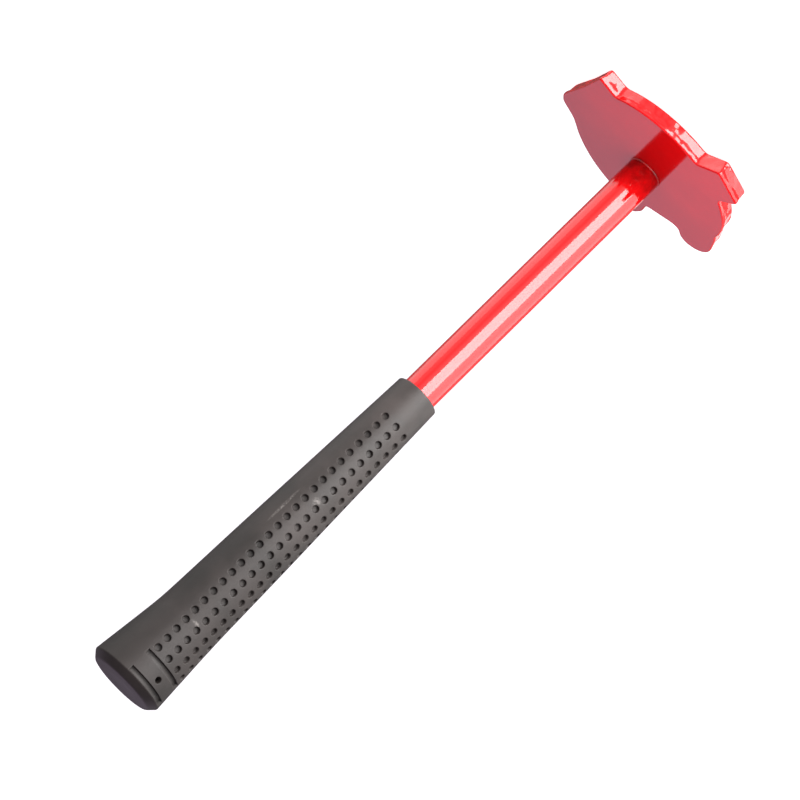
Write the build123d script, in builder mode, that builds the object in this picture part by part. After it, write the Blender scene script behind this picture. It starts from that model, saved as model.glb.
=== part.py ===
"""Hand tool: a lugged steel profile plate on a tube handle with a moulded rubber grip.

Frame: origin on the handle axis in the striking face, +Z up the handle from the plate to the
butt, -Y and +Y out of the two dimpled cheeks of the grip, +X towards the flared heel of the butt.
All sizes in millimetres.
"""
from build123d import *
import math
import os

# ---- head plate ----
plate_thickness = 8.8       # over the enamel
plate_turn = 33.0           # turn of the plate's outline about the handle, degrees
disc_radius = 57.3          # long front edge, measured from the handle's axis
front_fall = 2.4            # how much closer to the axis the front edge ends at the left notch
rear_radius = 48.6          # rear edge, concentric with the handle
front_lug_reach = 11.2      # lugs beyond those edges
rear_lug_reach = 6.5
cut_fall = 1.2              # how far the flame-cut edge falls in by the striking face, at the front
corner_round = 1.2          # outline corners, dressed after cutting
edge_break = 0.7            # both faces' edges

# ---- handle tube and its seam ----
tube_diameter = 19.0
tube_wall = 2.0
bare_length = 167.0         # tube that shows between the plate and the grip
weld_leg = 1.4              # bevel at the tube's foot that the seam fills
weld_crown = 0.35           # how far the seam stands proud of the bevel's corners

# ---- rubber grip ----
grip_length = 204.0
sleeve_gap = 0.0            # the sleeve is stretched on to the tube, so nothing is left
butt_solid = 26.0           # solid rubber beyond the end of the tube
neck_wall = 2.7             # rubber over the tube at the neck
waist_gain = 3.7            # how much the radius has grown since the neck, at each station
palm_gain = 5.1
butt_gain = 8.75
waist_from_neck = 112.0
flare_length = 43.0         # butt end, from the palm, where it starts to swell
heel_lean = 1.3             # the flare's centre moves towards +X by this much
neck_round = 1.0
butt_chamfer = 4.0

# ---- dimples on the two cheeks ----
dimple_rows = 26
dimple_columns = 4
dimple_diameter = 3.8
dimple_depth = 1.6
dimple_arc_pitch = 7.7      # round the surface
first_row_from_neck = 22.3
last_row_from_butt = 21.8

# ---- butt: slots and hanging hole ----
slot_width = 3.0
slot_depth = 1.5
slot_sweep = 82.0           # degrees of the circumference that each slot covers
slot_centres = (17.0, 5.8)  # from the butt end
hole_diameter = 3.4
hole_from_butt = 11.2

tube_radius = tube_diameter / 2
tube_foot = plate_thickness
neck_z = tube_foot + bare_length
butt_z = neck_z + grip_length
tube_end = butt_z - butt_solid

# Stations of the grip's outside: height, radius, lean of the centre towards +X.
neck_radius = tube_radius + neck_wall
stations = [
    (neck_z, neck_radius, 0.0),
    (neck_z + waist_from_neck, neck_radius + waist_gain, 0.0),
    (butt_z - flare_length, neck_radius + palm_gain, 0.0),
    (butt_z, neck_radius + butt_gain, heel_lean),
]


def grip_section(z):
    """Radius and lean of the grip's outside at a height, straight between stations."""
    for (z0, r0, e0), (z1, r1, e1) in zip(stations, stations[1:]):
        if z <= z1:
            share = (z - z0) / (z1 - z0)
            return r0 + share * (r1 - r0), e0 + share * (e1 - e0)
    return stations[-1][1:]


def on_circle(radius, x, side):
    """Point of a circle about the handle at a given x, on the -Y or +Y side."""
    return (x, side * math.sqrt(radius ** 2 - x ** 2))


# ---- head plate ----
# The outline goes round from the straight outer side of the left lug. x and y are the plate's
# own, with the long front edge towards -y. Neighbouring pieces share their end points.
left_lug_rear = (57.4, 6.5)
left_lug_side = (52.0, -20.0)
left_lug_front = (48.4, -44.6)
left_notch = on_circle(disc_radius - front_fall, 36.2, -1)
front_end = on_circle(disc_radius, -14.6, -1)
front_lug_tip = (-25.6, -disc_radius - front_lug_reach)
front_lug_side = (-43.0, -55.6)
side_notch = (-35.5, -41.4)
side_mid = (-43.6, -29.5)
side_end = (-48.2, -4.0)
right_lug_side = (-49.6, 0.7)
right_lug_tip = (-51.7, 14.6)
right_lug_mid = (-48.4, 25.2)
right_lug_end = (-40.3, 30.6)
right_lug_root = (-35.6, 29.6)
rear_notch = (-32.3, 24.4)
rear_slope = (-28.6, 24.6)
rear_step = (-12.9, 34.3)
rear_lug_side = (-13.2, 45.0)
rear_lug_tip = (-10.6, rear_radius + rear_lug_reach - 1.5)
rear_lug_nose = (-2.0, rear_radius + rear_lug_reach)
rear_start = on_circle(rear_radius, 4.0, 1)
rear_mid = on_circle(rear_radius, 24.0, 1)
rear_end = on_circle(rear_radius, 42.0, 1)
left_lug_root = (45.8, 19.2)
left_lug_corner = (55.4, 12.6)

with BuildPart() as head_plate:
    turned = Plane.XY.rotated((0, 0, plate_turn))
    with BuildSketch(turned.offset(plate_thickness)) as handle_side:
        with BuildLine():
            Line(left_lug_rear, left_lug_side)
            Line(left_lug_side, left_lug_front)
            Line(left_lug_front, left_notch)
            ThreePointArc(left_notch, on_circle(disc_radius, 10.5, -1), front_end)
            Line(front_end, front_lug_tip)
            Line(front_lug_tip, front_lug_side)
            Line(front_lug_side, side_notch)
            ThreePointArc(side_notch, side_mid, side_end)
            Line(side_end, right_lug_side)
            Line(right_lug_side, right_lug_tip)
            ThreePointArc(right_lug_tip, right_lug_mid, right_lug_end)
            Line(right_lug_end, right_lug_root)
            Line(right_lug_root, rear_notch)
            Line(rear_notch, rear_slope)
            Line(rear_slope, rear_step)
            Line(rear_step, rear_lug_side)
            Line(rear_lug_side, rear_lug_tip)
            Line(rear_lug_tip, rear_lug_nose)
            Line(rear_lug_nose, rear_start)
            ThreePointArc(rear_start, rear_mid, rear_end)
            Line(rear_end, left_lug_root)
            Line(left_lug_root, left_lug_corner)
            Line(left_lug_corner, left_lug_rear)
        make_face()
        fillet(handle_side.vertices(), radius=corner_round)
    with BuildSketch(turned):
        add(handle_side.sketch_local)
        scale(by=1 - cut_fall / disc_radius)
    loft(ruled=True)
    chamfer(head_plate.faces().filter_by(Axis.Z).edges(), length=edge_break)
head_plate.part.label = "head_plate"

# ---- handle tube: foot bevelled all round for the seam, upper end square inside the grip ----
with BuildPart() as handle_tube:
    with BuildSketch(Plane.XY.offset(tube_foot)):
        Circle(tube_radius)
        Circle(tube_radius - tube_wall, mode=Mode.SUBTRACT)
    extrude(amount=tube_end - tube_foot)
    foot = handle_tube.faces().sort_by(Axis.Z)[0].outer_wire().edges()
    chamfer(foot, length=weld_leg)
handle_tube.part.label = "handle_tube"

# ---- weld bead: fills the bevel between the tube's foot and the plate, slightly crowned ----
bead_root = (tube_radius - weld_leg, tube_foot)
bead_toe = (tube_radius + weld_crown, tube_foot)
bead_crown = (tube_radius + weld_crown * 0.8, tube_foot + weld_leg / 2)
bead_top = (tube_radius, tube_foot + weld_leg)
with BuildPart() as weld_bead:
    with BuildSketch(Plane.XZ):
        with BuildLine():
            Line(bead_root, bead_toe)
            ThreePointArc(bead_toe, bead_crown, bead_top)
            Line(bead_top, bead_root)
        make_face()
    revolve(axis=Axis.Z)
weld_bead.part.label = "weld_bead"

# ---- rubber grip ----
row_pitch = (grip_length - first_row_from_neck - last_row_from_butt) / (dimple_rows - 1)
row_heights = [neck_z + first_row_from_neck + row * row_pitch for row in range(dimple_rows)]
cheeks = (-90, 90)          # directions of the two cheeks about the handle, degrees
over = 2.0                  # how far the cutting shapes stand outside the surface


def dimple_floor(z, cheek, column):
    """Plane of one dimple's flat floor, facing out of the grip."""
    radius, lean = grip_section(z)
    step = math.degrees(dimple_arc_pitch / radius)
    angle = cheek + step * (column - (dimple_columns - 1) / 2)
    out = Vector(1, 0, 0).rotate(Axis.Z, angle)
    centre = Vector(lean, 0, z) + out * (radius - dimple_depth)
    return Plane(origin=centre, x_dir=(0, 0, 1), z_dir=out)


dimple_floors = [
    dimple_floor(z, cheek, column)
    for z in row_heights
    for cheek in cheeks
    for column in range(dimple_columns)
]

with BuildPart() as rubber_grip:
    for z, radius, lean in stations:
        with BuildSketch(Plane.XY.offset(z)):
            with Locations((lean, 0)):
                Circle(radius)
    loft(ruled=True)
    rims = rubber_grip.edges().filter_by(GeomType.CIRCLE).sort_by(Axis.Z)
    chamfer(rims[-1], length=butt_chamfer)
    fillet(rims[0], radius=neck_round)
    # blind bore that holds the tube
    with BuildSketch(Plane.XY.offset(neck_z)):
        Circle(tube_radius + sleeve_gap)
    extrude(amount=tube_end - neck_z, mode=Mode.SUBTRACT)
    # dimples, each square to the surface round the handle
    with BuildSketch(*dimple_floors):
        Circle(dimple_diameter / 2)
    extrude(amount=dimple_depth + over, mode=Mode.SUBTRACT)
    # two slots across each cheek at the butt
    for centre in slot_centres:
        z = butt_z - centre
        radius, lean = grip_section(z)
        for cheek in cheeks:
            start = Vector(1, 0, 0).rotate(Axis.Z, cheek - slot_sweep / 2)
            side = Plane(origin=(lean, 0, z), x_dir=start, z_dir=start.cross(Vector(0, 0, 1)))
            with BuildSketch(side):
                with Locations((radius - slot_depth, 0)):
                    Rectangle(slot_depth + over, slot_width, align=(Align.MIN, Align.CENTER))
            revolve(
                axis=Axis((lean, 0, z), (0, 0, 1)),
                revolution_arc=slot_sweep,
                mode=Mode.SUBTRACT,
            )
    # hanging hole from cheek to cheek
    radius, lean = grip_section(butt_z - hole_from_butt)
    with BuildSketch(Plane.XZ):
        with Locations((lean, butt_z - hole_from_butt)):
            Circle(hole_diameter / 2)
    extrude(amount=radius + over, both=True, mode=Mode.SUBTRACT)
rubber_grip.part.label = "rubber_grip"

os.makedirs("parts", exist_ok=True)
for piece in (head_plate, handle_tube, weld_bead, rubber_grip):
    export_step(piece.part, f"parts/{piece.part.label}.step")
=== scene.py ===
import math

import bmesh
import bpy
from mathutils import Matrix, Vector, noise
from mathutils.geometry import delaunay_2d_cdt


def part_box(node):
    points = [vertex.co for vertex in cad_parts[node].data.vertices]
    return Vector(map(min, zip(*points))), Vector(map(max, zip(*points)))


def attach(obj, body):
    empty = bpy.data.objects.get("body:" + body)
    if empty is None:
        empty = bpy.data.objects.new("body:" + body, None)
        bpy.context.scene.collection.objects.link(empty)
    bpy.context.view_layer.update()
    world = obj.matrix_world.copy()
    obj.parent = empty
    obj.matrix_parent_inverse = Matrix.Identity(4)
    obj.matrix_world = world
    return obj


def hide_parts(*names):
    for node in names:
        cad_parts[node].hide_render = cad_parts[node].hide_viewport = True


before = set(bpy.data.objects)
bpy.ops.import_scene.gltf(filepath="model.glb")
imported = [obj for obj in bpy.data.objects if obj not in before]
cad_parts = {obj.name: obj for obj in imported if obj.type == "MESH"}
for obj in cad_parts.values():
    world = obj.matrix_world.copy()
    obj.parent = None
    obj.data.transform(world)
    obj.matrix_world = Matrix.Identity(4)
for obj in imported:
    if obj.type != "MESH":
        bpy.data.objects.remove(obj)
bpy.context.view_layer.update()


# ---- Head plate ----
# A thick steel plate, flame-cut to a lugged outline, so its cut edge falls inwards towards the
# striking face. The enamel rounds every edge over and softens the ripple that the torch left.

MM = 0.001
plate_low, plate_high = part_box("head_plate")
plate_thickness = (plate_high.z - plate_low.z) / MM
plate_turn = math.radians(33.0)
disc_radius = 57.3           # the long front edge, from the handle's axis
edge_radius = 0.9
edge_steps = 5
cut_ripple = 0.18
outline_step = 0.8

# Straight cuts have one end point. Curved cuts have a middle point and an end point. They go
# round from the straight outer side of the left lug, with the long front edge towards -y.
left_lug_rear = (57.4, 6.5)
plate_cuts = [
    [(52.0, -20.0)],
    [(48.4, -44.6)],
    [(36.2, -41.27)],
    [(10.5, -56.33), (-14.6, -55.41)],
    [(-25.6, -68.5)],
    [(-43.0, -55.6)],
    [(-35.5, -41.4)],
    [(-43.6, -29.5), (-48.2, -4.0)],
    [(-49.6, 0.7)],
    [(-51.7, 14.6)],
    [(-48.4, 25.2), (-40.3, 30.6)],
    [(-35.6, 29.6)],
    [(-32.3, 24.4)],
    [(-28.6, 24.6)],
    [(-12.9, 34.3)],
    [(-13.2, 45.0)],
    [(-10.6, 53.6)],
    [(-2.0, 55.1)],
    [(4.0, 48.43)],
    [(24.0, 42.26), (42.0, 24.45)],
    [(45.8, 19.2)],
    [(55.4, 12.6)],
    [left_lug_rear],
]


def walk_line(a, b):
    """Points along a straight cut, without its end."""
    steps = max(2, round((b - a).length / outline_step))
    return [a.lerp(b, n / steps) for n in range(steps)]


def walk_arc(a, m, b):
    """Points along the curved cut from a through m to b, without its end."""
    ab, am = b - a, m - a
    cross = 2 * (ab.x * am.y - ab.y * am.x)
    centre = a + Vector((
        (am.y * ab.length_squared - ab.y * am.length_squared) / cross,
        (ab.x * am.length_squared - am.x * ab.length_squared) / cross,
    ))
    start = math.atan2(a.y - centre.y, a.x - centre.x)
    middle = math.atan2(m.y - centre.y, m.x - centre.x) - start
    sweep = math.atan2(b.y - centre.y, b.x - centre.x) - start
    full = 2 * math.pi
    anticlockwise = 0 < middle % full < sweep % full
    sweep = sweep % full if anticlockwise else sweep % full - full
    radius = (a - centre).length
    steps = max(3, round(abs(sweep) * radius / outline_step))
    bends = [start + sweep * n / steps for n in range(steps)]
    return [centre + radius * Vector((math.cos(bend), math.sin(bend))) for bend in bends]


def soften(points, passes):
    """Rounds the corners of a closed outline."""
    for _ in range(passes):
        points = [
            (points[n - 1] + 2 * points[n] + points[(n + 1) % len(points)]) / 4
            for n in range(len(points))
        ]
    return points


level_normal = 0.9999        # a face whose normal is this upright counts as level


def finish_mesh(bm, name, material_slots):
    """Turns a bmesh in millimetres into an object. Level faces stay flat, the rest is smooth."""
    bmesh.ops.recalc_face_normals(bm, faces=bm.faces)
    for vertex in bm.verts:
        vertex.co *= MM
    for face in bm.faces:
        face.smooth = abs(face.normal.z) < level_normal
    mesh = bpy.data.meshes.new(name)
    bm.to_mesh(mesh)
    bm.free()
    for material in material_slots:
        mesh.materials.append(material)
    piece = bpy.data.objects.new(name, mesh)
    bpy.context.collection.objects.link(piece)
    return piece


def bridge(bm, lower, upper):
    """Joins two rings of equal count with a band of faces."""
    count = len(lower)
    for n in range(count):
        bm.faces.new((lower[n], lower[(n + 1) % count], upper[(n + 1) % count], upper[n]))


outline = []
here = Vector(left_lug_rear)
for cut in plate_cuts:
    stops = [Vector(stop) for stop in cut]
    outline += walk_line(here, stops[0]) if len(stops) == 1 else walk_arc(here, *stops)
    here = stops[-1]
outline = soften(outline, 3)


def outward(points, n):
    """Direction away from the plate at a point of its outline."""
    along = points[(n + 1) % len(points)] - points[n - 1]
    return Vector((-along.y, along.x)).normalized()


inset_step = 0.25


def move_inwards(points, depth):
    """Moves a closed outline inwards in small softened steps, so that it never folds over."""
    steps = math.ceil(depth / inset_step)
    for _ in range(steps):
        points = [p - outward(points, n) * (depth / steps) for n, p in enumerate(points)]
        points = soften(points, 1)
    return points


# Section of the cut from the handle side down: share of the thickness, and fall at the disc's
# radius. The torch leaves it nearly square at the top, then undercut, then nearly square again.
cut_fall = [
    (0.0, 0.0), (0.16, 0.05), (0.24, 0.16), (0.40, 0.78), (0.50, 0.95), (0.72, 1.06), (1.0, 1.2),
]


def fall_at(share):
    for (u0, f0), (u1, f1) in zip(cut_fall, cut_fall[1:]):
        if share <= u1:
            return f0 + (share - u0) / (u1 - u0) * (f1 - f0)


# The rounded edge, and then the whole rim from the handle side down, as (inset, height).
rounding = []
for n in range(edge_steps + 1):
    bend = math.radians(90 * n / edge_steps)
    rounding.append((edge_radius * (1 - math.sin(bend)), edge_radius * (1 - math.cos(bend))))
rim_rows = 14
wall = plate_thickness - 2 * edge_radius
rim_section = [(back, plate_thickness - drop) for back, drop in rounding]
for n in range(1, rim_rows):
    rim_section.append((0.0, plate_thickness - edge_radius - wall * n / rim_rows))
rim_section += reversed(rounding)

# Waves per millimetre round and down the cut: the ripple runs down it, so it is longer that way.
long_round, long_down = 0.09, 0.05
short_round, short_down = 0.3, 0.12

plate_mesh = bmesh.new()
turn_plate = Matrix.Rotation(plate_turn, 2)
rings = []
for back, height in rim_section:
    kept = 1 - fall_at(1 - height / plate_thickness) / disc_radius
    points = [point * kept for point in outline]
    ripples = []
    for x, y in outline:
        ripple = noise.noise(Vector((x * long_round, y * long_round, height * long_down)))
        ripple += 0.5 * noise.noise(Vector((x * short_round, y * short_round, height * short_down)))
        ripples.append(cut_ripple * (0.75 + 0.5 * ripple))
    if back > 0:
        points = move_inwards(points, back)
    points = soften([p - outward(points, n) * ripples[n] for n, p in enumerate(points)], 2)
    turned = [turn_plate @ point for point in points]
    rings.append([plate_mesh.verts.new((at.x, at.y, height)) for at in turned])
for upper, lower in zip(rings, rings[1:]):
    bridge(plate_mesh, lower, upper)
close_points = 1e-5
for ring in (rings[0], rings[-1]):
    flat = [vertex.co.xy for vertex in ring]
    triangles = delaunay_2d_cdt(flat, [], [list(range(len(flat)))], 1, close_points)[2]
    for triangle in triangles:
        plate_mesh.faces.new([ring[n] for n in triangle])


# Alkyd enamel brushed on steel: one glossy red coat with faint orange peel and a few dust nibs,
# so the metal never shows. It sags in low waves on the cut edge. Round the tube's foot, where it
# covers the weld's spatter, it is lumpy, and its red is darkened in blotches as painted shade
# where the plate shades the tube.

def linear(code):
    """sRGB hex to linear red, green, blue and alpha."""
    parts = [int(code[n:n + 2], 16) / 255 for n in (1, 3, 5)]
    return (*[c / 12.92 if c <= 0.04045 else ((c + 0.055) / 1.055) ** 2.4 for c in parts], 1.0)


def add_node(tree, kind, links=(), **settings):
    """Adds a node. Settings that name a socket set its value; links are (source, socket)."""
    made = tree.nodes.new(kind)
    for key, value in settings.items():
        if hasattr(made, key):
            setattr(made, key, value)
        else:
            made.inputs[key.replace("_", " ")].default_value = value
    for source, socket in links:
        tree.links.new(source, made.inputs[socket])
    return made


def new_material(name):
    made = bpy.data.materials.new(name)
    made.use_nodes = True
    made.node_tree.nodes.clear()
    return made, made.node_tree


enamel_peel = 1 / (2.4 * MM)
enamel_cloud = 1 / (28 * MM)
enamel_nib = 1 / (5 * MM)
enamel_sag = 1 / (9 * MM)
enamel_lump = 1 / (5.5 * MM)

red_enamel, tree = new_material("alkyd_enamel_on_steel")
place = add_node(tree, "ShaderNodeTexCoord").outputs["Object"]
cloud = add_node(tree, "ShaderNodeTexNoise", [(place, "Vector")], Scale=enamel_cloud, Detail=3.0)
shade = add_node(tree, "ShaderNodeValToRGB", [(cloud.outputs["Fac"], "Fac")])
shade.color_ramp.elements[0].position = 0.3
shade.color_ramp.elements[0].color = linear("#CA080B")
shade.color_ramp.elements[1].position = 0.7
shade.color_ramp.elements[1].color = linear("#D60C10")
haze = add_node(tree, "ShaderNodeMapRange", [(cloud.outputs["Fac"], "Value")],
                From_Min=0.3, From_Max=0.7, To_Min=0.05, To_Max=0.10)
level = add_node(tree, "ShaderNodeSeparateXYZ", [(place, 0)]).outputs["Z"]
on_cut = add_node(tree, "ShaderNodeMapRange", [(level, "Value")],
                  From_Min=(plate_thickness - 1.2) * MM, From_Max=(plate_thickness - 0.4) * MM,
                  To_Min=1.0, To_Max=0.0)
above_plate = add_node(tree, "ShaderNodeMath", [(level, 0)], operation="GREATER_THAN")
above_plate.inputs[1].default_value = plate_high.z + 0.1 * MM
near_foot = add_node(tree, "ShaderNodeMapRange",
                     [(level, "Value"), (above_plate.outputs["Value"], "To Min")],
                     From_Min=18 * MM, From_Max=27 * MM, To_Max=0.0)
lumps = add_node(tree, "ShaderNodeTexNoise", [(place, "Vector")], Scale=enamel_lump, Detail=3.0)
# Painted shade: from the plate up to 27 mm, the tube's red darkens in blotches towards a deep red.
foot_painted_shade = add_node(tree, "ShaderNodeMapRange",
                [(lumps.outputs["Fac"], "Value"), (near_foot.outputs["Result"], "To Max")],
                From_Min=0.25, From_Max=0.65, To_Min=0.0)
tone = add_node(tree, "ShaderNodeMix",
                [(foot_painted_shade.outputs["Result"], 0), (shade.outputs["Color"], 6)], data_type="RGBA")
tone.inputs[7].default_value = linear("#8C0708")
peel = add_node(tree, "ShaderNodeTexNoise", [(place, "Vector")], Scale=enamel_peel, Detail=1.0)
nibs = add_node(tree, "ShaderNodeTexVoronoi", [(place, "Vector")], Scale=enamel_nib)
nib = add_node(tree, "ShaderNodeMapRange", [(nibs.outputs["Distance"], "Value")],
               From_Min=0.0, From_Max=0.07, To_Min=1.0, To_Max=0.0)
sag = add_node(tree, "ShaderNodeTexNoise", [(place, "Vector")], Scale=enamel_sag, Detail=1.0)
sag_bump = add_node(tree, "ShaderNodeBump",
                    [(sag.outputs["Fac"], "Height"), (on_cut.outputs["Result"], "Strength")],
                    Distance=2.6 * MM)
lump_bump = add_node(tree, "ShaderNodeBump",
                     [(lumps.outputs["Fac"], "Height"), (near_foot.outputs["Result"], "Strength"),
                      (sag_bump.outputs["Normal"], "Normal")], Distance=0.4 * MM)
peel_bump = add_node(tree, "ShaderNodeBump",
                     [(peel.outputs["Fac"], "Height"), (lump_bump.outputs["Normal"], "Normal")],
                     Strength=0.25, Distance=0.05 * MM)
nib_bump = add_node(tree, "ShaderNodeBump",
                    [(nib.outputs["Result"], "Height"), (peel_bump.outputs["Normal"], "Normal")],
                    Strength=0.3, Distance=0.1 * MM)
enamel = add_node(tree, "ShaderNodeBsdfPrincipled",
                  [(tone.outputs[2], "Base Color"), (haze.outputs["Result"], "Roughness"),
                   (nib_bump.outputs["Normal"], "Normal")], IOR=1.52)
add_node(tree, "ShaderNodeOutputMaterial", [(enamel.outputs["BSDF"], "Surface")])

head_plate = finish_mesh(plate_mesh, "enamelled_head_plate", [red_enamel])
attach(head_plate, "root")
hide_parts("head_plate")


# ---- Handle tube ----
# Round steel tube, 19 mm across with a 2 mm wall, cut square and bevelled at the foot for the
# seam. It runs on inside the grip and stops short of the hanging hole.

tube_low, tube_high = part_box("handle_tube")
tube_radius = tube_high.x / MM
tube_wall = 2.0
foot_bevel = 1.4
end_break = 0.3
tube_steps = 128


def turned_shape(section, steps):
    """Revolves a closed section of (radius, height) about the handle."""
    bm = bmesh.new()
    loops = []
    for radius, height in section:
        loop = []
        for n in range(steps):
            angle = 2 * math.pi * n / steps
            loop.append(bm.verts.new((radius * math.cos(angle), radius * math.sin(angle), height)))
        loops.append(loop)
    for n, loop in enumerate(loops):
        bridge(bm, loop, loops[(n + 1) % len(loops)])
    return bm


foot, top = tube_low.z / MM, tube_high.z / MM
tube_section = [
    (tube_radius - foot_bevel, foot),
    (tube_radius, foot + foot_bevel),
    (tube_radius, foot + foot_bevel + end_break),
    (tube_radius, top - 2 * end_break),
    (tube_radius, top - end_break),
    (tube_radius - end_break, top),
    (tube_radius - tube_wall, top),
    (tube_radius - tube_wall, foot),
]
tube_mesh = turned_shape(tube_section, tube_steps)
handle_tube = finish_mesh(tube_mesh, "enamelled_handle_tube", [red_enamel])
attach(handle_tube, "root")
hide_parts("handle_tube")


# ---- Weld bead ----
# A small seam laid by hand round the tube's foot, ground nearly flush with the tube and painted
# over, so only its crest and a slight unevenness show.

bead_crown = 0.33
bead_steps = 144
bead_ripples = 40            # laid in short strokes
bead_mesh = bmesh.new()
bead_loops = []
for n in range(bead_steps):
    angle = 2 * math.pi * n / bead_steps
    uneven = noise.noise(Vector((3 * math.cos(angle), 3 * math.sin(angle), 0.4)))
    crown = bead_crown * (0.8 + 0.35 * uneven + 0.1 * math.sin(bead_ripples * angle))
    crown = min(bead_crown, crown)
    section = [
        (tube_radius - foot_bevel, foot),
        (tube_radius + crown, foot + 0.02),
        (tube_radius + crown * 0.92, foot + foot_bevel * 0.3),
        (tube_radius + crown * 0.6, foot + foot_bevel * 0.65),
        (tube_radius + 0.01, foot + foot_bevel * 0.98),
    ]
    bead_loops.append([
        bead_mesh.verts.new((radius * math.cos(angle), radius * math.sin(angle), height))
        for radius, height in section
    ])
for n, loop in enumerate(bead_loops):
    bridge(bead_mesh, loop, bead_loops[(n + 1) % bead_steps])
weld_bead = finish_mesh(bead_mesh, "enamelled_weld_bead", [red_enamel])
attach(weld_bead, "root")
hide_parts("weld_bead")


# ---- Rubber grip ----
# A one-piece moulded sleeve, stretched on to the tube. Blind dimples cover two cheeks, and at
# the butt each cheek has two shallow slots with a hanging hole between them.

grip_low, grip_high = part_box("rubber_grip")
neck_z, butt_z = grip_low.z / MM, grip_high.z / MM
grip_length = butt_z - neck_z
neck_wall = 2.7
waist_from_neck = 112.0
flare_length = 43.0
waist_gain, palm_gain, butt_gain = 3.7, 5.1, 8.75     # in radius, from the neck
heel_lean = 1.3
neck_radius = tube_radius + neck_wall
# Distance from the neck, radius, and lean of the centre towards +X.
grip_stations = [
    (0.0, neck_radius, 0.0),
    (waist_from_neck, neck_radius + waist_gain, 0.0),
    (grip_length - flare_length, neck_radius + palm_gain, 0.0),
    (grip_length, neck_radius + butt_gain, heel_lean),
]
taper_blend = (-8, -4, 0, 4, 8)
blended_from, blended_to = 10, 190
dimple_rows = 26
dimple_columns = 4
arc_pitch = 7.7
first_row = 22.3
last_row = grip_length - 21.8
row_pitch = (last_row - first_row) / (dimple_rows - 1)
cell = 6                     # mesh steps across one dimple's cell
fine_arc = arc_pitch / cell
# Rings of a dimple, from the skin to its flat floor: radius and depth.
dimple_rings = [(2.45, 0.0), (2.1, 0.0), (1.97, 0.07), (1.88, 0.25), (1.82, 1.30),
                (1.70, 1.53), (1.3, 1.6)]
slot_depth = 1.5
# One side of a slot, from its edge to its floor: distance and depth.
slot_lines = [(0.0, 0.0), (0.10, 0.12), (0.22, 1.38), (0.4, slot_depth)]
slot_width = 3.0
slot_centres = (grip_length - 17.0, grip_length - 5.8)
hole_centre = grip_length - 11.2
# Rings of the hanging hole's mouth: radius and depth.
hole_rings = [(2.3, 0.0), (1.95, 0.0), (1.8, 0.06), (1.7, 0.25)]
plain_steps = 14             # mesh steps across the smooth strip between the cheeks
cheek_steps = dimple_columns * cell
ring_steps = 2 * (cheek_steps + plain_steps)
slot_half = fine_arc * (cheek_steps // 2 - 1)
slot_end = 0.2               # how far the slots' end walls slope
slot_guard = 0.4             # a narrow mesh column beside them keeps them crisp


def along_stations(d, column):
    """Radius (column 1) or lean (column 2) at a distance from the neck, straight between stations."""
    for lower, upper in zip(grip_stations, grip_stations[1:]):
        if d <= upper[0] or upper is grip_stations[-1]:
            share = (d - lower[0]) / (upper[0] - lower[0])
            return lower[column] + share * (upper[column] - lower[column])


def grip_radius(d):
    """Radius of the sleeve, with its changes of taper blended over a few millimetres."""
    if blended_from < d < blended_to:
        return sum(along_stations(d + k, 1) for k in taper_blend) / len(taper_blend)
    return along_stations(d, 1)


def grip_point(angle, d, depth):
    """Point at an angle about the handle, a distance from the neck, and a depth under the skin."""
    radius, lean = grip_radius(d) - depth, along_stations(d, 2)
    return Vector((lean + radius * math.cos(angle), radius * math.sin(angle), neck_z + d))


def cheek_point(cheek, u, d, depth):
    """Point of a cheek: cheek is -1 or +1 for the -Y or +Y side, u the arc from its middle."""
    return grip_point(cheek * math.pi / 2 + u / grip_radius(d), d, depth)


def column_angle(column, d, at_butt):
    """Angle of a mesh column. Columns keep an even arc over the cheeks."""
    radius = grip_radius(d)
    half = (slot_half + slot_end if at_butt else fine_arc * cheek_steps / 2) / radius
    side, column = divmod(column, cheek_steps + plain_steps)
    middle = -math.pi / 2 + side * math.pi
    if column < cheek_steps:
        if column == 0:
            return middle - half
        return middle + (column - cheek_steps / 2) * fine_arc / radius
    step = column - cheek_steps
    guard = slot_guard / radius
    if step in (0, 1):
        return middle + half + step * guard
    if step == plain_steps - 1:
        return middle + math.pi - half - guard
    return middle + half + guard + (step - 1) / (plain_steps - 2) * (math.pi - 2 * half - 2 * guard)


# Heights of the mesh rows over the skin, with the depth that a slot has there.
zone_start = first_row - row_pitch / 2
rows = [(d, 0.0, False) for d in (1.0, 2.5, 5.0, 8.0, 11.0, 14.0, 17.0)]
dimple_row = len(rows)
rows += [(zone_start + n * row_pitch / cell, 0.0, False) for n in range(dimple_rows * cell + 1)]
slot_spans = []
hole_row = 0
for centre in slot_centres:
    start = len(rows)
    rise = [(centre - slot_width / 2 + step, depth, True) for step, depth in slot_lines]
    fall = [(centre + slot_width / 2 - step, depth, True) for step, depth in reversed(slot_lines)]
    rows += rise + [(centre, slot_depth, True)] + fall
    slot_spans.append((start, len(rows)))
    if not hole_row:
        hole_row = len(rows)
        rows += [(hole_centre + (n - cell / 2) * fine_arc, 0.0, True) for n in range(cell + 1)]

grip_mesh = bmesh.new()
skin = []
for d, depth, at_butt in rows:
    ring = []
    for column in range(ring_steps):
        within = column % (cheek_steps + plain_steps)
        here = depth if 0 < within < cheek_steps else 0.0
        ring.append(grip_mesh.verts.new(grip_point(column_angle(column, d, at_butt), d, here)))
    skin.append(ring)


def cell_border(row, column):
    """The mesh's own points round a cell, from the middle of its +u side, anticlockwise."""
    half = cell // 2
    offsets = [(half, n) for n in range(0, half)] + [(n, half) for n in range(half, -half, -1)]
    offsets += [(-half, n) for n in range(half, -half, -1)]
    offsets += [(n, -half) for n in range(-half, half)] + [(half, n) for n in range(-half, 0)]
    return [skin[row + half + v][(column + half + u) % ring_steps] for u, v in offsets]


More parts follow.
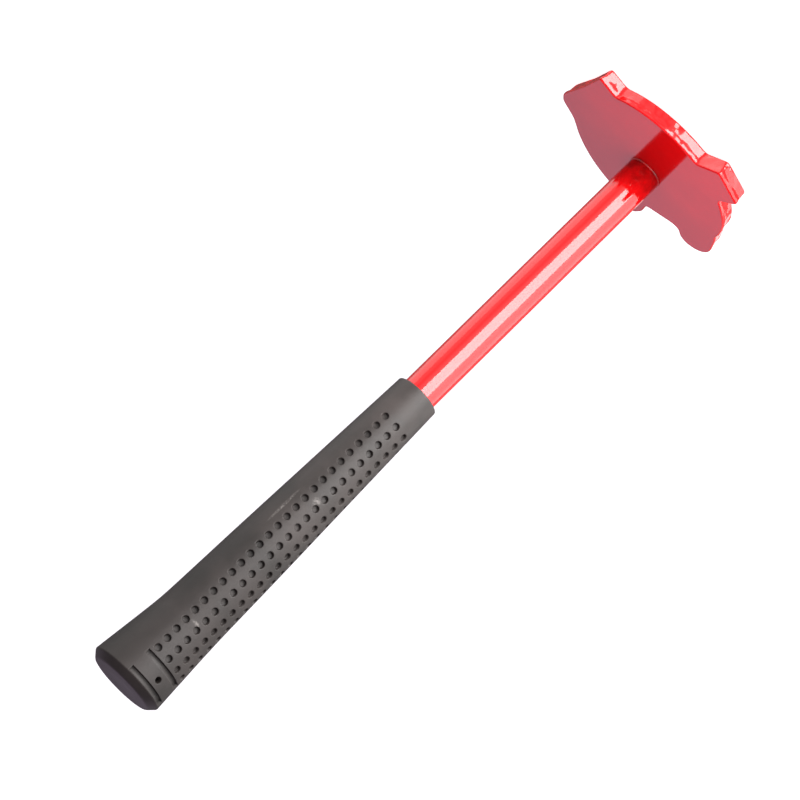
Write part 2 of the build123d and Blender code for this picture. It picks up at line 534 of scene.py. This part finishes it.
def sunk_rings(row, column, cheek, u, d, rings):
    """Lays rings of points inside a cell, each (radius, depth), and joins them up."""
    outer = cell_border(row, column)
    count = len(outer)
    for radius, depth in rings:
        inner = []
        for n in range(count):
            turn = 2 * math.pi * n / count
            at = cheek_point(cheek, u + radius * math.cos(turn), d + radius * math.sin(turn), depth)
            inner.append(grip_mesh.verts.new(at))
        bridge(grip_mesh, outer, inner)
        outer = inner
    return outer


taken = set()


def take_cell(row, column):
    """Keeps the plain skin out of a cell that a dimple or the hole fills."""
    for v in range(cell):
        for u in range(cell):
            taken.add((row + v, (column + u) % ring_steps))


hole_mouths = []
for side, cheek in enumerate((-1, 1)):
    first = side * (cheek_steps + plain_steps)
    for row in range(dimple_rows):
        for column in range(dimple_columns):
            at_row, at_column = dimple_row + row * cell, first + column * cell
            take_cell(at_row, at_column)
            u = (column - (dimple_columns - 1) / 2) * arc_pitch
            d = first_row + row * row_pitch
            grip_mesh.faces.new(sunk_rings(at_row, at_column, cheek, u, d, dimple_rings))
    middle = first + cheek_steps // 2 - cell // 2
    take_cell(hole_row, middle)
    hole_mouths.append(sunk_rings(hole_row, middle, cheek, 0.0, hole_centre, hole_rings))

for row in range(len(skin) - 1):
    for column in range(ring_steps):
        if (row, column) not in taken:
            beside = (column + 1) % ring_steps
            grip_mesh.faces.new((skin[row][column], skin[row][beside],
                                 skin[row + 1][beside], skin[row + 1][column]))

# The hanging hole runs straight through from one mouth to the other.
near, far = hole_mouths
count = len(near)
far = [far[(count // 2 - n) % count] for n in range(count)]
bridge(grip_mesh, near, far)

# Neck: rounded rim, flat end face, then the bore that holds the tube.
bore_depth = top - neck_z
bore_gap = 0.02              # keeps the skin of the bore off the tube
neck_rings = [(neck_radius + 0.02, 0.6), (neck_radius - 0.12, 0.28), (neck_radius - 0.5, 0.06),
              (neck_radius - 1.0, 0.0), (tube_radius + 0.25, 0.0), (tube_radius + bore_gap, 0.2),
              (tube_radius + bore_gap, bore_depth)]
outer = skin[0]
for radius, d in neck_rings:
    inner = []
    for column in range(ring_steps):
        angle = column_angle(column, 1.0, False)
        across = (radius * math.cos(angle), radius * math.sin(angle))
        inner.append(grip_mesh.verts.new((*across, neck_z + d)))
    bridge(grip_mesh, inner, outer)
    outer = inner
grip_mesh.faces.new(outer)

# Butt: rounded shoulder, chamfer, rounded lip and flat end: distance from the end and inset.
butt_rings = [(4.1, 0.0), (3.75, 0.12), (3.3, 0.5), (2.7, 1.1), (1.5, 2.3), (0.75, 3.05),
              (0.25, 3.7), (0.03, 4.5), (0.0, 5.6), (0.0, 9.0), (0.0, 14.0)]
outer = skin[-1]
for from_end, depth in butt_rings:
    d = grip_length - from_end
    ring = [grip_mesh.verts.new(grip_point(column_angle(column, d, True), d, depth))
            for column in range(ring_steps)]
    bridge(grip_mesh, outer, ring)
    outer = ring
grip_mesh.faces.new(outer)


# Carbon-filled moulded rubber: nearly black with a warm bloom, matt, with the fine grain of an
# etched mould and a few pale scuffs where it has rubbed against something.

rubber_grain = 1 / (0.5 * MM)   # the mould's etch is finer and is drawn coarser so that it shows
rubber_bloom = 1 / (22 * MM)
rubber_scuff = 1 / (1.2 * MM)
clean_length = 50            # of the sleeve at the neck, which the hand doesn't reach

grip_rubber, tree = new_material("moulded_rubber")
place = add_node(tree, "ShaderNodeTexCoord").outputs["Object"]
bloom = add_node(tree, "ShaderNodeTexNoise", [(place, "Vector")], Scale=rubber_bloom, Detail=5.0)
body = add_node(tree, "ShaderNodeValToRGB", [(bloom.outputs["Fac"], "Fac")])
body.color_ramp.elements[0].position = 0.32
body.color_ramp.elements[0].color = linear("#2E2A28")
body.color_ramp.elements[1].position = 0.72
body.color_ramp.elements[1].color = linear("#443D3B")
# The sleeve's colour is darker towards the butt.
level = add_node(tree, "ShaderNodeSeparateXYZ", [(place, 0)]).outputs["Z"]
toward_butt = add_node(tree, "ShaderNodeMapRange", [(level, "Value")],
                   From_Min=(neck_z + clean_length) * MM, From_Max=butt_z * MM, To_Max=0.55)
darker_at_butt = add_node(tree, "ShaderNodeMix",
                [(toward_butt.outputs["Result"], 0), (body.outputs["Color"], 6)], data_type="RGBA")
darker_at_butt.inputs[7].default_value = linear("#1C1817")
# Each scuff is a soft ellipsoid: middle in millimetres, and half its length along each axis.
scuffs = [
    ((5.9, -13.3, 252.9), (2.6, 2.0, 2.4)),
    ((6.4, -16.0, 336.8), (3.4, 2.0, 1.3)),
    ((13.4, -6.6, 267.3), (0.7, 1.2, 15.0)),
]
worn = None
for middle, spread in scuffs:
    local = add_node(tree, "ShaderNodeVectorMath", [(place, 0)], operation="SUBTRACT")
    local.inputs[1].default_value = [c * MM for c in middle]
    shape = add_node(tree, "ShaderNodeVectorMath", [(local.outputs[0], 0)], operation="DIVIDE")
    shape.inputs[1].default_value = [c * MM for c in spread]
    reach = add_node(tree, "ShaderNodeVectorMath", [(shape.outputs[0], 0)], operation="LENGTH")
    mark = add_node(tree, "ShaderNodeMapRange", [(reach.outputs["Value"], "Value")],
                    From_Min=0.2, From_Max=1.0, To_Min=1.0, To_Max=0.0)
    if worn is None:
        worn = mark.outputs["Result"]
    else:
        both = add_node(tree, "ShaderNodeMath", [(worn, 0), (mark.outputs["Result"], 1)],
                        operation="MAXIMUM")
        worn = both.outputs["Value"]
streak = add_node(tree, "ShaderNodeTexNoise", [(place, "Vector")], Scale=rubber_scuff, Detail=4.0)
patchy = add_node(tree, "ShaderNodeMapRange", [(streak.outputs["Fac"], "Value")],
                  From_Min=0.4, From_Max=0.65, To_Min=0.1, To_Max=0.75)
scuffed = add_node(tree, "ShaderNodeMath", [(worn, 0), (patchy.outputs["Result"], 1)],
                   operation="MULTIPLY")
colour = add_node(tree, "ShaderNodeMix",
                  [(scuffed.outputs["Value"], 0), (darker_at_butt.outputs[2], 6)], data_type="RGBA")
colour.inputs[7].default_value = linear("#8A8480")
# Painted shade: the deep corners of dimples and slots are darkened towards near black, and their
# shine is turned down, by how enclosed they are.
recess = add_node(tree, "ShaderNodeAmbientOcclusion", Distance=2.2 * MM)
open_skin = add_node(tree, "ShaderNodeMapRange", [(recess.outputs["AO"], "Value")],
                     From_Min=0.3, From_Max=0.75)
recess_painted_shade = add_node(tree, "ShaderNodeMix",
                  [(open_skin.outputs["Result"], 0), (colour.outputs[2], 7)], data_type="RGBA")
recess_painted_shade.inputs[6].default_value = linear("#070606")
shine = add_node(tree, "ShaderNodeMapRange", [(open_skin.outputs["Result"], "Value")],
                 To_Min=0.02, To_Max=0.28)
matt = add_node(tree, "ShaderNodeMapRange", [(bloom.outputs["Fac"], "Value")],
                From_Min=0.3, From_Max=0.7, To_Min=0.42, To_Max=0.56)
grain = add_node(tree, "ShaderNodeTexNoise", [(place, "Vector")], Scale=rubber_grain, Detail=2.0)
grain_bump = add_node(tree, "ShaderNodeBump", [(grain.outputs["Fac"], "Height")],
                      Strength=0.6, Distance=0.08 * MM)
rubber = add_node(tree, "ShaderNodeBsdfPrincipled",
                  [(recess_painted_shade.outputs[2], "Base Color"), (matt.outputs["Result"], "Roughness"),
                   (shine.outputs["Result"], "Specular IOR Level"),
                   (grain_bump.outputs["Normal"], "Normal")], IOR=1.52)
add_node(tree, "ShaderNodeOutputMaterial", [(rubber.outputs["BSDF"], "Surface")])

rubber_grip = finish_mesh(grip_mesh, "moulded_rubber_grip", [grip_rubber])
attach(rubber_grip, "root")
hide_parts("rubber_grip")


# ---- Floor ----
# A plain white floor that the tool stands on. It glows a little, as paper does on a light
# table, so the tool's shadow stays faint, and it is left out of the tool's reflections.

floor_half = 12.0
floor_drop = 0.5             # keeps the striking face clear of it
floor_mesh = bmesh.new()
corners = [(-1, -1), (1, -1), (1, 1), (-1, 1)]
floor_mesh.faces.new([floor_mesh.verts.new((x * floor_half / MM, y * floor_half / MM, 0.0))
                      for x, y in corners])
white_floor, tree = new_material("white_floor")
lit = add_node(tree, "ShaderNodeBsdfDiffuse", Color=linear("#F2F2F2"))
glow = add_node(tree, "ShaderNodeEmission", Color=linear("#FFFFFF"), Strength=0.86)
both = add_node(tree, "ShaderNodeAddShader", [(lit.outputs[0], 0), (glow.outputs[0], 1)])
add_node(tree, "ShaderNodeOutputMaterial", [(both.outputs[0], "Surface")])
floor = finish_mesh(floor_mesh, "white_floor", [white_floor])
floor.location.z = -floor_drop * MM
floor.visible_glossy = False
floor.visible_diffuse = False
floor.visible_shadow = False


# ---- Studio light ----
# A light table's room: pale walls low down and dim ones above. One low soft box stands to the
# right of the camera, with a white card at each side. Angles are about the handle, from the
# camera's own direction towards the soft box's side.

camera_angle = math.radians(-57.0)


def studio_direction(degrees):
    angle = camera_angle - math.radians(degrees)
    return Vector((math.cos(angle), math.sin(angle), 0.0))


def soft_box(name, way, distance, width, height, middle, strength):
    light = bpy.data.lights.new(name, "AREA")
    light.shape = "RECTANGLE"
    light.size, light.size_y = width, height
    light.energy = strength
    box = bpy.data.objects.new(name, light)
    box.location = way.normalized() * distance + middle
    box.rotation_mode = "QUATERNION"
    box.rotation_quaternion = (way * -1).to_track_quat("-Z", "Y")
    bpy.context.collection.objects.link(box)
    return box


soft_box("side_soft_box", studio_direction(20.0), 0.8, 0.85, 0.9, Vector((0, 0, -0.49)), 29.0)
soft_box("right_card", studio_direction(85.0), 0.9, 1.26, 1.0, Vector((0, 0, -0.52)), 10.5)
soft_box("left_card", studio_direction(-97.0), 0.9, 1.0, 1.0, Vector((0, 0, -0.52)), 5.0)
# A fill that hangs below the grip, so that it reaches the plate and nothing above it.
plate_fill = soft_box("plate_fill", Vector((0, 0, 1)), 0.165, 0.3, 0.3,
                      studio_direction(30.0) * 0.22, 0.55)
plate_fill.visible_glossy = False
plate_fill.visible_camera = False

# A small card beside the head, too low for the tube and the grip to reflect.
soft_box("head_card", studio_direction(160.0), 0.3, 0.16, 0.2, Vector((0, 0, -0.185)), 0.1)

# Brightness of the walls by angle, low down and from above the horizon.
low_walls = [
    (-180, 0.10), (-160, 0.12), (-138, 0.4), (-100, 0.8), (-56, 1.3), (-38, 0.7), (-15, 1.9),
    (52, 2.2), (80, 1.0), (118, 0.6), (140, 0.5), (160, 0.2), (180, 0.10),
]
high_walls = [
    (-180, 0.86), (-150, 0.86), (-120, 0.2), (0, 0.12), (120, 0.2), (150, 0.86), (180, 0.86),
]
brightest = 2.5

world = bpy.data.worlds.new("white_studio")
world.use_nodes = True
bpy.context.scene.world = world
tree = world.node_tree
tree.nodes.clear()
way = add_node(tree, "ShaderNodeTexCoord").outputs["Generated"]

# How far a direction points ahead, aside, up and down.
facing = []
for axis in (studio_direction(0.0), studio_direction(90.0), Vector((0, 0, 1)), Vector((0, 0, -1))):
    along = add_node(tree, "ShaderNodeVectorMath", [(way, 0)], operation="DOT_PRODUCT")
    along.inputs[1].default_value = axis
    facing.append(along.outputs["Value"])
ahead, aside, upwards, downwards = facing
angle = add_node(tree, "ShaderNodeMath", [(aside, 0), (ahead, 1)], operation="ARCTAN2")
turn = add_node(tree, "ShaderNodeMapRange", [(angle.outputs["Value"], "Value")],
                From_Min=-math.pi, From_Max=math.pi)
walls = []
for levels, tint in ((low_walls, linear("#FFFFFF")), (high_walls, linear("#FAE6FF"))):
    ramp = add_node(tree, "ShaderNodeValToRGB", [(turn.outputs["Result"], "Fac")])
    stops = ramp.color_ramp.elements
    for n, (degrees, level) in enumerate(levels):
        stop = stops[n] if n < 2 else stops.new(1.0)
        stop.position = (degrees + 180) / 360
        stop.color = (*[level / brightest * part for part in tint[:3]], 1.0)
    walls.append(ramp.outputs["Color"])
rise = add_node(tree, "ShaderNodeMapRange", [(upwards, "Value")], From_Min=0.20, From_Max=0.30)
sink = add_node(tree, "ShaderNodeMapRange", [(downwards, "Value")],
                From_Min=0.35, From_Max=0.65, To_Min=brightest, To_Max=brightest * 0.55)
room = add_node(tree, "ShaderNodeMix",
                [(rise.outputs["Result"], 0), (walls[0], 6), (walls[1], 7)], data_type="RGBA")
sky = add_node(tree, "ShaderNodeBackground",
               [(room.outputs[2], "Color"), (sink.outputs["Result"], "Strength")])
add_node(tree, "ShaderNodeOutputWorld", [(sky.outputs["Background"], "Surface")])


# ---- Camera ----
# It looks down at 16 degrees on the handle side of the plate, rolled so that the head points
# up to the right.

camera_distance = 1.763
aim_above_plate = 0.16435
camera_data = bpy.data.cameras.new("camera")
camera_data.sensor_width = 36.0
camera_data.lens = 162.0
camera_data.shift_x = -0.02638
camera_data.shift_y = -0.00983
camera_data.clip_end = 100.0
camera = bpy.data.objects.new("camera", camera_data)
bpy.context.collection.objects.link(camera)
aim = Vector((0.0, 0.0, plate_high.z + aim_above_plate))
elevation = math.radians(16.0)
head_angle = math.radians(44.5)
level_back = studio_direction(0.0)
back = level_back * math.cos(elevation) + Vector((0, 0, math.sin(elevation)))
level_right = Vector((0, 0, 1)).cross(level_back)
level_up = back.cross(level_right)
right = -level_up * math.cos(head_angle) - level_right * math.sin(head_angle)
up = -level_up * math.sin(head_angle) + level_right * math.cos(head_angle)
camera.matrix_world = Matrix.Translation(aim + back * camera_distance) @ Matrix((
    (right.x, up.x, back.x, 0.0),
    (right.y, up.y, back.y, 0.0),
    (right.z, up.z, back.z, 0.0),
    (0.0, 0.0, 0.0, 1.0),
))
bpy.context.scene.camera = camera
bpy.context.scene.view_settings.view_transform = "Standard"
